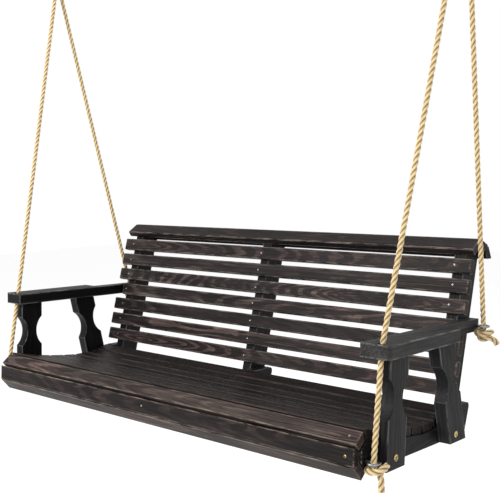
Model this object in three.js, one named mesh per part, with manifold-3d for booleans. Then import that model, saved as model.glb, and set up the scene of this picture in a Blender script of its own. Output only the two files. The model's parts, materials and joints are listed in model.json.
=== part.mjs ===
// Porch swing seat: a slatted bench with a rolled front edge and a rolled-back crest, hung by ropes
// from two ceiling hangers. Millimetres, +X to the sitter's left (a viewer's right), +Y to the back,
// +Z up. The origin is on the ceiling plane, midway between the two hangers. Everything that swings
// is drawn in the seat's own frame, whose zero height is the top of the armrests.

import * as THREE from 'three';
import { mergeVertices } from 'three/addons/utils/BufferGeometryUtils.js';
import Module from 'manifold-3d';

// ---------------------------------------------------------------- driving dimensions

const ARM_DROP = 1370; // ceiling plane down to the armrest tops
const HANG_TILT = -THREE.MathUtils.degToRad(1.81); // brings the centre of mass under the hangers
const TOUCH_GAP = 0.3; // clearance between pieces that touch
const TIMBER = 38; // thickness of the heavy timber
const SLAT_THICKNESS = 25;
const EASED_EDGE = 3; // chamfer along the edges of a board

const BACK_SLAT = { halfLength: 790, width: 46, pitch: 60.5, count: 7, topCentreZ: 164.5 };
const RECLINE = Math.atan(0.2573); // lean of the back
const BACK_FRONT_Y = 219.3; // front plane of the back slats at armrest height
const SUPPORT_DEPTH_Y = 80.4; // back support, measured level
const SHORT_SLAT = { index: 3, halfLength: 756 }; // stops between the armrests

const CREST_LINE = [[275, 214], [325, 247], [380, 223], [404, 180]]; // outer surface, Y and Z
const CREST_GAP = 3;
const HEAD_UNDERSIDE_Z = 178; // underside of a support's head
const CREST_UNDERSIDE_Z = 180; // level cut along the crest's rear board

const ROLL_LINE = [[-313, -353], [-349, -312], [-347, -255.5], [-306, -223]]; // rolled front edge
const SEAT_LINE = [[-303, -218.5], [-248, -232], [-190, -244], [-129, -254], [-66, -261.5], [-9, -267],
  [48, -266], [101, -261], [155, -245]];
// The roll's upper slat is cut square. The slat below it stops short of the corner, further at its back.
const ROLL_JOINT = { upperSetback: 6.2, frontSetback: 5, frontBackSetback: 19 };
const ROLL_EASED_EDGE = 1.5;
const SEAT_HALF_LENGTH = 790;
const ROLL_GAP = 3;
const SEAT_GAP = 6;

const SIDE_RAIL_X = 758; // inner face of a side rail
const SUPPORT_EASED_EDGE = 1.5;
const SIDE_SUPPORT_X = 719.7; // inner face of a side back support
const CENTRE_SUPPORT_X = -59;
const CENTRE_RAIL_X = CENTRE_SUPPORT_X + TIMBER + TOUCH_GAP;
const RAIL_BOTTOM = { frontZ: -332.5, rearZ: -338 };
const RAIL_FRONT_CUT_Y = 2; // how far the rail's front foot is set back from its bed
const RAIL_REAR = { stepY: 163, topZ: -248, cornerY: 246, roundY: 257, roundZ: -266, bendY: 260, bendZ: -249,
  footY: 226, footTopY: 235, footTopZ: -328 };

const POST_X = SIDE_RAIL_X + TIMBER + TOUCH_GAP; // inner face of an arm post
const POST = { halfWidth: 44.5, waist: 20, topZ: -TIMBER - TOUCH_GAP, arcTopZ: -95, arcFootZ: -204,
  footZ: -334 };
const POST_TRIM_SPAN = 456; // wider along Y than a leaning post reaches
const POST_SPARE = 40; // extra length at both ends, trimmed level
const FRONT_POST = { topY: -204, lean: { left: -Math.atan(0.01), right: -Math.atan(0.055) } };
const REAR_POST = { topY: 46, lean: Math.atan(0.25) };

const ARM = { innerX: 759, outerX: 850, tailX: 794, frontY: -284, notchY: 94, rearY: 315, cornerRadius: 18,
  smallRadius: 6, ropeHole: [812, -258], ropeHoleRadius: 12.5 };

const ROPE_RADIUS = 8;
const HOOK_X = 890; // the two ropes of one side meet under this hanger
const FAN_Z = 1187; // height at which they meet and turn upright, side by side
const SEIZING = { bottomZ: 1214, height: 28, wall: 3 };
const ROPE_JOIN_Z = 1228;
const LEG_OFFSET_Y = ROPE_RADIUS + TOUCH_GAP / 2;
const RING = { radius: 26, bar: 4.5, bottomZ: 1263 }; // steel ring that rides on the hanger's bar
const HANGER = { barRadius: 5, halfSpan: 30, bend: 14, plateX: 60, plateY: 110, plateZ: 6, plateRadius: 10 };

const EYE = { radius: 16.75, bar: 3.25, shank: 4.5, washerRadius: 11, washer: 2, nutRadius: 9, nut: 7,
  tail: 4 };
const FRONT_EYE = [818, -300, -303];
const REAR_EYE = [816, 303, -20];
const HOLE_CLEARANCE = 0.4;
const MERGE = 0.5; // overlap of pieces that are joined into one

const BOLT = { shank: 4, headRadius: 9.5, headHeight: 4, nutRadius: 8, nut: 6 };
const BOLT_DOME = [[0, 0], [1, 0], [0.9, 0.45], [0.55, 0.85], [0, 1]]; // in shares of the head's size
const FRONT_POST_BOLT = [-220, -304]; // Y and Z
const REAR_POST_BOLT = [105, -310];
const RAIL_BOLT = [220, -318];

// Stopper knots: half-width, height, depth and how far the cut tail hangs below the knot on each side;
// the middle of the knot and the end of its tail, each given as [X, Y] from the rope's line.
const FRONT_KNOT = { radius: 32, height: 29, depth: 38, tail: { left: 12, right: 38 }, middle: [9, 4],
  tailEnd: [15, 11] };
const REAR_KNOT = { radius: 26, height: 36, depth: 36, tail: { left: 10, right: 10 }, middle: [3, 2],
  tailEnd: [31, 27] };
const KNOT_DROP = 9; // ring centre down to the top of the knot
const KNOT_TURN = Math.PI / 5; // about the vertical
const KNOT_RINGS = 8;
const KNOT_SIDES = 18;

const ROPE_CORNER = 8; // distance over which a rope's corners are rounded
const FRONT_ROPE_STEPS = 44;
const REAR_ROPE_STEPS = 34;
const ROPE_EYE_STEPS = 30;
const ROPE_EYE_EASE = 10; // height over which the rope eases into its bight
const RAIL_CURVE_STEPS = 5;
const POST_CURVE_STEPS = 6;

// ---------------------------------------------------------------- materials

function material(color, roughness, metalness) {
  return new THREE.MeshStandardMaterial({ color, roughness, metalness });
}
const darkWood = material('#332e2c', 0.75, 0);
const frameWood = material('#2f3032', 0.75, 0);
const ropeFibre = material('#d7b47d', 0.9, 0);
const steel = material('#b9bcc0', 0.35, 1);
const brass = material('#c9a64e', 0.35, 1);
const hangerSteel = material('#3a3b3d', 0.5, 0.8);

// ---------------------------------------------------------------- solids

const wasm = await Module();
wasm.setup();

function toManifold(geometry) {
  const bare = geometry.index ? geometry.toNonIndexed() : geometry.clone();
  bare.deleteAttribute('normal');
  bare.deleteAttribute('uv');
  const merged = mergeVertices(bare, 1e-4);
  const vertProperties = new Float32Array(merged.attributes.position.array);
  const triVerts = new Uint32Array(merged.index.array);
  return new wasm.Manifold(new wasm.Mesh({ numProp: 3, vertProperties, triVerts }));
}

function toGeometry(manifold) {
  const mesh = manifold.getMesh();
  const geometry = new THREE.BufferGeometry();
  geometry.setAttribute('position', new THREE.BufferAttribute(new Float32Array(mesh.vertProperties), 3));
  geometry.setIndex(new THREE.BufferAttribute(new Uint32Array(mesh.triVerts), 1));
  geometry.computeVertexNormals();
  return geometry;
}

function cut(geometry, ...tools) {
  return toGeometry(tools.reduce((body, tool) => body.subtract(toManifold(tool)), toManifold(geometry)));
}

function join(...geometries) {
  return toGeometry(geometries.map(toManifold).reduce((body, piece) => body.add(piece)));
}

function addMesh(group, name, geometry, meshMaterial) {
  const mesh = new THREE.Mesh(geometry, meshMaterial);
  mesh.name = name;
  group.add(mesh);
}

// ---------------------------------------------------------------- outlines

const X_AXIS = new THREE.Vector3(1, 0, 0);
const Y_AXIS = new THREE.Vector3(0, 1, 0);
const Z_AXIS = new THREE.Vector3(0, 0, 1);
// Turns an outline drawn as (Y, Z) and thickened along local Z into a piece thickened along world X.
const SECTION_TO_WORLD = new THREE.Matrix4().makeBasis(Y_AXIS, Z_AXIS, X_AXIS);

function vectors(pairs) {
  return pairs.map(([y, z]) => new THREE.Vector2(y, z));
}

// The right-hand side of the direction of travel from a to b, as a unit vector.
function rightOf(a, b) {
  const along = b.clone().sub(a).normalize();
  return new THREE.Vector2(along.y, -along.x);
}

// Where the line through p along d crosses the line through q along e.
function crossing(p, d, q, e) {
  const between = q.clone().sub(p);
  return p.clone().addScaledVector(d, between.cross(e) / d.cross(e));
}

// The line's parallel at a distance to its right, with mitred corners.
function offsetLine(points, distance) {
  return points.map((point, i) => {
    const before = points[Math.max(i - 1, 0)];
    const after = points[Math.min(i + 1, points.length - 1)];
    const sideA = i > 0 ? rightOf(before, point) : rightOf(point, after);
    const sideB = i < points.length - 1 ? rightOf(point, after) : sideA;
    const bisector = sideA.clone().add(sideB).normalize();
    return point.clone().addScaledVector(bisector, distance / bisector.dot(sideA));
  });
}

// One four-cornered section per stretch of the line. Where the line turns towards its right, the
// boards are mitred so that their inner edges stay apart; elsewhere their edges are square.
function boardSections(points, thickness, gap) {
  const inner = offsetLine(points, thickness);
  const sections = [];
  for (let i = 0; i < points.length - 1; i += 1) {
    const [a, b] = [points[i], points[i + 1]];
    const along = b.clone().sub(a).normalize();
    const side = rightOf(a, b).multiplyScalar(thickness);
    const startSlant = Math.max(0, inner[i].clone().sub(a).dot(along));
    const endSlant = Math.max(0, -inner[i + 1].clone().sub(b).dot(along));
    const start = a.clone().addScaledVector(along, gap / 2);
    const end = b.clone().addScaledVector(along, -gap / 2);
    sections.push([start, end, end.clone().add(side).addScaledVector(along, -endSlant),
      start.clone().add(side).addScaledVector(along, startSlant)]);
  }
  return sections;
}

// A closed outline with every corner cut off at the given distance from it.
function easedShape(corners, distance) {
  const outline = [];
  corners.forEach((corner, i) => {
    for (const neighbour of [corners.at(i - 1), corners[(i + 1) % corners.length]]) {
      const towards = neighbour.clone().sub(corner).normalize();
      outline.push(corner.clone().addScaledVector(towards, distance));
    }
  });
  return new THREE.Shape(outline);
}

function thickened(shape, depth, curveSegments = 8) {
  return new THREE.ExtrudeGeometry(shape, { depth, bevelEnabled: false, curveSegments });
}

// A (Y, Z) shape thickened from one X to another.
function acrossX(shape, fromX, toX, curveSegments) {
  const geometry = thickened(shape, Math.abs(toX - fromX), curveSegments);
  geometry.applyMatrix4(SECTION_TO_WORLD);
  return geometry.translate(Math.min(fromX, toX), 0, 0);
}

// A round bar along X, at a height and depth given as [Y, Z].
function barAlongX([y, z], radius, fromX, toX, sides = 16) {
  const geometry = new THREE.CylinderGeometry(radius, radius, Math.abs(toX - fromX), sides);
  return geometry.rotateZ(Math.PI / 2).translate((fromX + toX) / 2, y, z);
}

// A cutter for a bolt hole through timber that spans the two given X values, in either order.
function drill(centre, faceX, otherFaceX, radius) {
  const spare = Math.sign(otherFaceX - faceX);
  return barAlongX(centre, radius + HOLE_CLEARANCE, faceX - spare, otherFaceX + spare);
}

// ---------------------------------------------------------------- round bars and ropes along a route

// A route of straight stretches whose corners are rounded over the given distance.
function roundedRoute(corners, distance) {
  const route = new THREE.CurvePath();
  let from = corners[0];
  for (let i = 1; i < corners.length - 1; i += 1) {
    const corner = corners[i];
    const back = corners[i - 1].clone().sub(corner).normalize();
    const ahead = corners[i + 1].clone().sub(corner).normalize();
    const enter = corner.clone().addScaledVector(back, distance);
    const leave = corner.clone().addScaledVector(ahead, distance);
    route.add(new THREE.LineCurve3(from, enter));
    route.add(new THREE.QuadraticBezierCurve3(enter, corner, leave));
    from = leave;
  }
  route.add(new THREE.LineCurve3(from, corners.at(-1)));
  return route;
}

function tube(route, radius, steps, sides = 8) {
  const rim = [];
  for (let i = 0; i < sides; i += 1) {
    const angle = (2 * Math.PI * i) / sides;
    rim.push(new THREE.Vector2(radius * Math.cos(angle), radius * Math.sin(angle)));
  }
  return new THREE.ExtrudeGeometry(new THREE.Shape(rim), { steps, bevelEnabled: false, extrudePath: route });
}

function points3(list, side = 1) {
  return list.map(([x, y, z]) => new THREE.Vector3(side * x, y, z));
}

// ---------------------------------------------------------------- the back

const backDown = new THREE.Vector2(-Math.sin(RECLINE), -Math.cos(RECLINE)); // down the lean, as (Y, Z)
const backRear = new THREE.Vector2(Math.cos(RECLINE), -Math.sin(RECLINE)); // from front face to rear face

function onBackFront(z) {
  return new THREE.Vector2(BACK_FRONT_Y + Math.tan(RECLINE) * z, z);
}

function addBackSlats(group) {
  for (let i = 0; i < BACK_SLAT.count; i += 1) {
    const centre = onBackFront(BACK_SLAT.topCentreZ - BACK_SLAT.pitch * i);
    const top = centre.clone().addScaledVector(backDown, -BACK_SLAT.width / 2);
    const foot = centre.clone().addScaledVector(backDown, BACK_SLAT.width / 2);
    const section = [top, foot, foot.clone().addScaledVector(backRear, SLAT_THICKNESS),
      top.clone().addScaledVector(backRear, SLAT_THICKNESS)];
    const half = i === SHORT_SLAT.index ? SHORT_SLAT.halfLength : BACK_SLAT.halfLength;
    addMesh(group, `back_slat_${i + 1}`, acrossX(easedShape(section, EASED_EDGE), -half, half), darkWood);
  }
}

function addCrest(group) {
  const names = ['crest_front_cap', 'crest_top_cap', 'crest_rear_cap'];
  const sections = boardSections(vectors(CREST_LINE), SLAT_THICKNESS, CREST_GAP);
  const [, outerFoot, innerFoot, innerHead] = sections[2];
  const level = new THREE.Vector2(1, 0);
  const underside = new THREE.Vector2(0, CREST_UNDERSIDE_Z);
  innerFoot.copy(crossing(innerFoot, innerHead.clone().sub(innerFoot), underside, level));
  outerFoot.y = CREST_UNDERSIDE_Z;
  sections.forEach((section, i) => {
    const shape = easedShape(section, EASED_EDGE);
    addMesh(group, names[i], acrossX(shape, -BACK_SLAT.halfLength, BACK_SLAT.halfLength), darkWood);
  });
}

// A back support: a leaning timber whose head follows the underside of the crest.
function supportShape() {
  const clear = (SLAT_THICKNESS + TOUCH_GAP) / Math.cos(RECLINE);
  const crest = offsetLine(vectors(CREST_LINE), SLAT_THICKNESS + TOUCH_GAP);
  const frontFoot = onBackFront(RAIL_BOTTOM.rearZ).add(new THREE.Vector2(clear, 0));
  const rearFoot = onBackFront(RAIL_BOTTOM.rearZ).add(new THREE.Vector2(clear + SUPPORT_DEPTH_Y, 0));
  const frontTop = crossing(frontFoot, backDown, crest[0], crest[1].clone().sub(crest[0]));
  const level = new THREE.Vector2(1, 0);
  const underside = new THREE.Vector2(0, HEAD_UNDERSIDE_Z);
  const headCorner = crossing(crest[2], crest[3].clone().sub(crest[2]), underside, level);
  const rearTop = crossing(rearFoot, backDown, headCorner, level);
  const outline = [frontFoot, frontTop, crest[1], crest[2], headCorner, rearTop, rearFoot];
  return easedShape(outline, SUPPORT_EASED_EDGE);
}

function addSupports(group) {
  const shape = supportShape();
  for (const [name, side] of [['left', -1], ['right', 1]]) {
    const [innerX, outerX] = [side * SIDE_SUPPORT_X, side * (SIDE_SUPPORT_X + TIMBER)];
    const reach = [side * (SIDE_SUPPORT_X - 1), side * (POST_X + TIMBER)];
    const body = cut(acrossX(shape, innerX, outerX), drill(REAR_EYE.slice(1), ...reach, EYE.shank),
      drill(RAIL_BOLT, ...reach, BOLT.shank));
    addMesh(group, `back_support_${name}`, body, frameWood);
  }
  const centre = acrossX(shape, CENTRE_SUPPORT_X, CENTRE_SUPPORT_X + TIMBER);
  addMesh(group, 'back_support_centre', centre, frameWood);
}

// ---------------------------------------------------------------- the seat

function addSeatSlats(group) {
  const roll = vectors(ROLL_LINE);
  const seat = vectors(SEAT_LINE);
  // Each run of boards reaches one stretch into the other, so that the boards where they meet are mitred.
  const rollSections = boardSections([...roll, seat[1]], SLAT_THICKNESS, ROLL_GAP).slice(0, roll.length - 1);
  const seatSections = boardSections([roll.at(-2), ...seat], SLAT_THICKNESS, SEAT_GAP).slice(1);
  const [front, upper] = rollSections.slice(1);
  const [frontUp, upperUp] = [[1, 2], [2, 3]].map(([i, j]) => roll[j].clone().sub(roll[i]).normalize());
  const upperIn = rightOf(roll[2], roll[3]).multiplyScalar(SLAT_THICKNESS);
  const frontIn = rightOf(roll[1], roll[2]).multiplyScalar(SLAT_THICKNESS);
  upper[0] = roll[2].clone().addScaledVector(upperUp, ROLL_JOINT.upperSetback);
  upper[3] = upper[0].clone().add(upperIn);
  front[1] = roll[2].clone().addScaledVector(frontUp, -ROLL_JOINT.frontSetback);
  front[2] = roll[2].clone().addScaledVector(frontUp, -ROLL_JOINT.frontBackSetback).add(frontIn);
  ['roll_bottom_slat', 'roll_front_slat', 'roll_upper_slat'].forEach((name, i) => {
    const shape = easedShape(rollSections[i], ROLL_EASED_EDGE);
    addMesh(group, name, acrossX(shape, -SEAT_HALF_LENGTH, SEAT_HALF_LENGTH), darkWood);
  });
  seatSections.forEach((section, i) => {
    const shape = easedShape(section, EASED_EDGE);
    addMesh(group, `seat_slat_${i + 1}`, acrossX(shape, -SEAT_HALF_LENGTH, SEAT_HALF_LENGTH), darkWood);
  });
}

// A seat rail: its top carries the slats, its rear end stands up behind them and is rounded.
function railShape() {
  const rollBed = offsetLine(vectors(ROLL_LINE), SLAT_THICKNESS + TOUCH_GAP);
  const seatBed = offsetLine(vectors(SEAT_LINE), SLAT_THICKNESS + TOUCH_GAP);
  const rollEnd = rollBed.at(-1).clone().sub(rollBed.at(-2));
  const meeting = crossing(rollBed.at(-1), rollEnd, seatBed[0], seatBed[1].clone().sub(seatBed[0]));
  const bed = [...rollBed.slice(0, -1), meeting, ...seatBed.slice(1)];
  const shape = new THREE.Shape();
  shape.moveTo(bed[0].x, bed[0].y);
  bed.slice(1).forEach((point) => shape.lineTo(point.x, point.y));
  shape.lineTo(RAIL_REAR.stepY, bed.at(-1).y);
  shape.lineTo(RAIL_REAR.stepY, RAIL_REAR.topZ);
  shape.lineTo(RAIL_REAR.cornerY, RAIL_REAR.topZ);
  shape.quadraticCurveTo(RAIL_REAR.bendY, RAIL_REAR.bendZ, RAIL_REAR.roundY, RAIL_REAR.roundZ);
  shape.lineTo(RAIL_REAR.footTopY, RAIL_REAR.footTopZ);
  shape.lineTo(RAIL_REAR.footY, RAIL_BOTTOM.rearZ);
  shape.lineTo(bed[0].x + RAIL_FRONT_CUT_Y, RAIL_BOTTOM.frontZ);
  return shape;
}

function addRails(group) {
  const shape = railShape();
  for (const [name, side] of [['left', -1], ['right', 1]]) {
    const [innerX, outerX] = [side * SIDE_RAIL_X, side * (SIDE_RAIL_X + TIMBER)];
    const reach = [innerX - side, outerX + side];
    const rail = acrossX(shape, innerX, outerX, RAIL_CURVE_STEPS);
    const body = cut(rail, drill(FRONT_EYE.slice(1), ...reach, EYE.shank),
      drill(FRONT_POST_BOLT, ...reach, BOLT.shank), drill(REAR_POST_BOLT, ...reach, BOLT.shank),
      drill(RAIL_BOLT, ...reach, BOLT.shank));
    addMesh(group, `seat_rail_${name}`, body, frameWood);
  }
  const centre = acrossX(shape, CENTRE_RAIL_X, CENTRE_RAIL_X + TIMBER, RAIL_CURVE_STEPS);
  addMesh(group, 'seat_rail_centre', centre, frameWood);
}

// ---------------------------------------------------------------- arms and posts

// The hourglass outline of an arm post about its own centre line, longer than needed at both ends.
function postShape() {
  const { halfWidth, waist, arcTopZ, arcFootZ, topZ, footZ } = POST;
  const sagitta = halfWidth - waist;
  const halfChord = (arcTopZ - arcFootZ) / 2;
  const radius = (halfChord ** 2 + sagitta ** 2) / (2 * sagitta);
  const swing = Math.asin(halfChord / radius);
  const middleZ = (arcTopZ + arcFootZ) / 2;
  const shape = new THREE.Shape();
  shape.moveTo(-halfWidth, footZ - POST_SPARE);
  shape.lineTo(halfWidth, footZ - POST_SPARE);
  shape.lineTo(halfWidth, arcFootZ);
  shape.absarc(waist + radius, middleZ, radius, Math.PI + swing, Math.PI - swing, true);
  shape.lineTo(halfWidth, topZ + POST_SPARE);
  shape.lineTo(-halfWidth, topZ + POST_SPARE);
  shape.lineTo(-halfWidth, arcTopZ);
  shape.absarc(-waist - radius, middleZ, radius, swing, -swing, true);
  return shape;
}

function post(innerX, outerX, topY, lean, bolt) {
  const body = acrossX(postShape(), innerX, outerX, POST_CURVE_STEPS);
  body.translate(0, 0, -POST.topZ).rotateX(lean).translate(0, topY, POST.topZ);
  const slab = new THREE.BoxGeometry(4 * TIMBER, POST_TRIM_SPAN, POST.topZ - POST.footZ);
  slab.translate((innerX + outerX) / 2, topY, (POST.topZ + POST.footZ) / 2);
  const trimmed = toManifold(body).intersect(toManifold(slab));
  return cut(toGeometry(trimmed), drill(bolt, innerX, outerX, BOLT.shank));
}

function addPosts(group) {
  for (const [name, side] of [['left', -1], ['right', 1]]) {
    const [innerX, outerX] = [side * POST_X, side * (POST_X + TIMBER)];
    const front = post(innerX, outerX, FRONT_POST.topY, FRONT_POST.lean[name], FRONT_POST_BOLT);
    addMesh(group, `front_arm_post_${name}`, front, frameWood);
    const rear = post(innerX, outerX, REAR_POST.topY, REAR_POST.lean, REAR_POST_BOLT);
    addMesh(group, `rear_arm_post_${name}`, rear, frameWood);
  }
}

// Plan outline of an armrest: full width over the posts, then a narrow tail beside the back support.
function armShape(side) {
  const { innerX, outerX, tailX, frontY, notchY, rearY, cornerRadius, smallRadius } = ARM;
  const shape = new THREE.Shape();
  shape.moveTo(side * innerX, frontY + smallRadius);
  shape.quadraticCurveTo(side * innerX, frontY, side * (innerX + smallRadius), frontY);
  shape.lineTo(side * (outerX - cornerRadius), frontY);
  shape.quadraticCurveTo(side * outerX, frontY, side * outerX, frontY + cornerRadius);
  shape.lineTo(side * outerX, notchY - smallRadius);
  shape.quadraticCurveTo(side * outerX, notchY, side * (outerX - smallRadius), notchY);
  shape.lineTo(side * tailX, notchY);
  shape.lineTo(side * tailX, rearY);
  shape.lineTo(side * innerX, rearY);
  return shape;
}

function addArms(group) {
  for (const [name, side] of [['left', -1], ['right', 1]]) {
    const board = thickened(armShape(side), TIMBER, 5).translate(0, 0, -TIMBER);
    const [holeX, holeY] = ARM.ropeHole;
    const ropeHole = new THREE.CylinderGeometry(ARM.ropeHoleRadius, ARM.ropeHoleRadius, 2 * TIMBER, 20);
    ropeHole.rotateX(Math.PI / 2).translate(side * holeX, holeY, -TIMBER / 2);
    const boltHole = drill(REAR_EYE.slice(1), side * ARM.innerX, side * ARM.tailX, EYE.shank);
    addMesh(group, `armrest_${name}`, cut(board, ropeHole, boltHole), frameWood);
  }
}

// ---------------------------------------------------------------- fasteners

// An eye bolt lies along X: its ring is level, its shank runs inwards to a washer and a nut.
function eyeBolt([x, y, z], woodInnerX, side) {
  const ring = new THREE.TorusGeometry(EYE.radius, EYE.bar, 8, 16).translate(side * x, y, z);
  const washerX = woodInnerX - TOUCH_GAP;
  const nutX = washerX - EYE.washer;
  const endX = nutX - EYE.nut - EYE.tail;
  const shank = barAlongX([y, z], EYE.shank, side * (x - EYE.radius), side * endX, 12);
  const washer = barAlongX([y, z], EYE.washerRadius, side * washerX, side * nutX, 16);
  const nut = barAlongX([y, z], EYE.nutRadius, side * (nutX + MERGE), side * (nutX - EYE.nut), 6);
  return join(ring, shank, washer, nut);
}

// A round-headed bolt through two timbers, with its nut on the inner side.
function headedBolt(centre, headX, nutX, side) {
  const { shank, headRadius, headHeight, nutRadius, nut } = BOLT;
  const dome = BOLT_DOME.map(([r, h]) => new THREE.Vector2(r * headRadius, h * headHeight));
  const head = new THREE.LatheGeometry(dome, 16);
  head.rotateZ(-side * Math.PI / 2).translate(side * (headX + TOUCH_GAP), ...centre);
  const endX = nutX - TOUCH_GAP - nut;
  const bar = barAlongX(centre, shank, side * (headX + TOUCH_GAP + headHeight / 2), side * endX, 12);
  const hexNut = barAlongX(centre, nutRadius, side * (nutX - TOUCH_GAP), side * (endX + MERGE), 6);
  return join(head, bar, hexNut);
}

function addFasteners(group) {
  for (const [name, side] of [['left', -1], ['right', 1]]) {
    addMesh(group, `front_eye_bolt_${name}`, eyeBolt(FRONT_EYE, SIDE_RAIL_X, side), steel);
    addMesh(group, `rear_eye_bolt_${name}`, eyeBolt(REAR_EYE, SIDE_SUPPORT_X, side), steel);
    const postFaceX = POST_X + TIMBER;
    const frontBolt = headedBolt(FRONT_POST_BOLT, postFaceX, SIDE_RAIL_X, side);
    addMesh(group, `front_post_bolt_${name}`, frontBolt, brass);
    addMesh(group, `rear_post_bolt_${name}`, headedBolt(REAR_POST_BOLT, postFaceX, SIDE_RAIL_X, side), brass);
    const railBolt = headedBolt(RAIL_BOLT, SIDE_RAIL_X + TIMBER, SIDE_SUPPORT_X, side);
    addMesh(group, `rail_bolt_${name}`, railBolt, brass);
  }
}

// ---------------------------------------------------------------- ropes, rings and hangers

// Route of the front rope: through its eye, up through the armrest, then straight to the hanger.
const FRONT_ROPE = [[818, -300, -303 - KNOT_DROP], [818, -299, -290], [812, -262, -40], [812, -254.5, 2],
  [HOOK_X, -LEG_OFFSET_Y, FAN_Z], [HOOK_X, -LEG_OFFSET_Y, ROPE_JOIN_Z - TOUCH_GAP]];
// Route of the rear rope: through its eye, then straight to the hanger.
const REAR_ROPE = [[816, 304, -20 - KNOT_DROP], [816, 302.5, -8],
  [HOOK_X, LEG_OFFSET_Y, FAN_Z], [HOOK_X, LEG_OFFSET_Y, ROPE_JOIN_Z - TOUCH_GAP]];

// A stopper knot: a flattened ball under the eye, with the cut tail of the rope below it.
function knot([x, y, z], { radius, height, depth, tail, middle, tailEnd }, name, side) {
  const topZ = z - KNOT_DROP - TOUCH_GAP;
  const middleZ = topZ - height / 2;
  const profile = [];
  for (let i = 0; i <= KNOT_RINGS; i += 1) {
    const angle = -Math.PI / 2 + (Math.PI * i) / KNOT_RINGS;
    const reach = i % KNOT_RINGS ? radius * Math.cos(angle) : 0;
    profile.push(new THREE.Vector2(reach, (height / 2) * Math.sin(angle)));
  }
  const ball = new THREE.LatheGeometry(profile, KNOT_SIDES);
  ball.rotateX(Math.PI / 2).scale(1, depth / 2 / radius, 1).rotateZ(side * KNOT_TURN);
  ball.translate(side * (x + middle[0]), y + middle[1], middleZ);
  const start = new THREE.Vector3(side * (x + middle[0]), y + middle[1], middleZ);
  const end = new THREE.Vector3(side * (x + tailEnd[0]), y + tailEnd[1], topZ - height - tail[name]);
  return join(ball, tube(new THREE.LineCurve3(start, end), ROPE_RADIUS, 2));
}

// The rope's bight: up inside the seizing, over the ring's lower bar and down again.
function ropeEye(side) {
  const bend = RING.bar + ROPE_RADIUS + TOUCH_GAP;
  const neckZ = SEIZING.bottomZ + SEIZING.height;
  const handle = (bend * 4) / 3;
  const at = (y, z) => new THREE.Vector3(side * HOOK_X, y, z);
  const route = new THREE.CurvePath();
  route.add(new THREE.LineCurve3(at(-LEG_OFFSET_Y, ROPE_JOIN_Z), at(-LEG_OFFSET_Y, neckZ)));
  route.add(new THREE.CubicBezierCurve3(at(-LEG_OFFSET_Y, neckZ), at(-LEG_OFFSET_Y, neckZ + ROPE_EYE_EASE),
    at(-bend, RING.bottomZ - ROPE_EYE_EASE), at(-bend, RING.bottomZ)));
  route.add(new THREE.CubicBezierCurve3(at(-bend, RING.bottomZ), at(-bend, RING.bottomZ + handle),
    at(bend, RING.bottomZ + handle), at(bend, RING.bottomZ)));
  route.add(new THREE.CubicBezierCurve3(at(bend, RING.bottomZ), at(bend, RING.bottomZ - ROPE_EYE_EASE),
    at(LEG_OFFSET_Y, neckZ + ROPE_EYE_EASE), at(LEG_OFFSET_Y, neckZ)));
  route.add(new THREE.LineCurve3(at(LEG_OFFSET_Y, neckZ), at(LEG_OFFSET_Y, ROPE_JOIN_Z)));
  return tube(route, ROPE_RADIUS, ROPE_EYE_STEPS);
}

// A stadium outline, longer along Y, around the two legs of the rope.
function stadium(path, halfSpan, radius) {
  path.absarc(0, halfSpan, radius, 0, Math.PI, false);
  path.absarc(0, -halfSpan, radius, Math.PI, 2 * Math.PI, false);
  return path;
}

function seizing(side) {
  const shape = stadium(new THREE.Shape(), LEG_OFFSET_Y, ROPE_RADIUS + SEIZING.wall);
  shape.holes.push(stadium(new THREE.Path(), LEG_OFFSET_Y, ROPE_RADIUS + TOUCH_GAP));
  return thickened(shape, SEIZING.height, 10).translate(side * HOOK_X, 0, SEIZING.bottomZ);
}

const ringCentreZ = RING.bottomZ + RING.radius;
const pivotZ = ringCentreZ + RING.radius; // axis of the ring's upper bar, on which the seat swings
const hangerBarZ = pivotZ - RING.bar - HANGER.barRadius - TOUCH_GAP;

function addRopes(group) {
  for (const [name, side] of [['left', -1], ['right', 1]]) {
    const frontRoute = roundedRoute(points3(FRONT_ROPE, side), ROPE_CORNER);
    const rearRoute = roundedRoute(points3(REAR_ROPE, side), ROPE_CORNER);
    addMesh(group, `front_rope_${name}`, tube(frontRoute, ROPE_RADIUS, FRONT_ROPE_STEPS), ropeFibre);
    addMesh(group, `rear_rope_${name}`, tube(rearRoute, ROPE_RADIUS, REAR_ROPE_STEPS), ropeFibre);
    addMesh(group, `front_knot_${name}`, knot(FRONT_EYE, FRONT_KNOT, name, side), ropeFibre);
    addMesh(group, `rear_knot_${name}`, knot(REAR_EYE, REAR_KNOT, name, side), ropeFibre);
    addMesh(group, `rope_eye_${name}`, ropeEye(side), ropeFibre);
    addMesh(group, `rope_seizing_${name}`, seizing(side), ropeFibre);
    const ring = new THREE.TorusGeometry(RING.radius, RING.bar, 8, 20).rotateX(Math.PI / 2);
    addMesh(group, `top_ring_${name}`, ring.translate(side * HOOK_X, 0, ringCentreZ), steel);
  }
}

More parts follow.
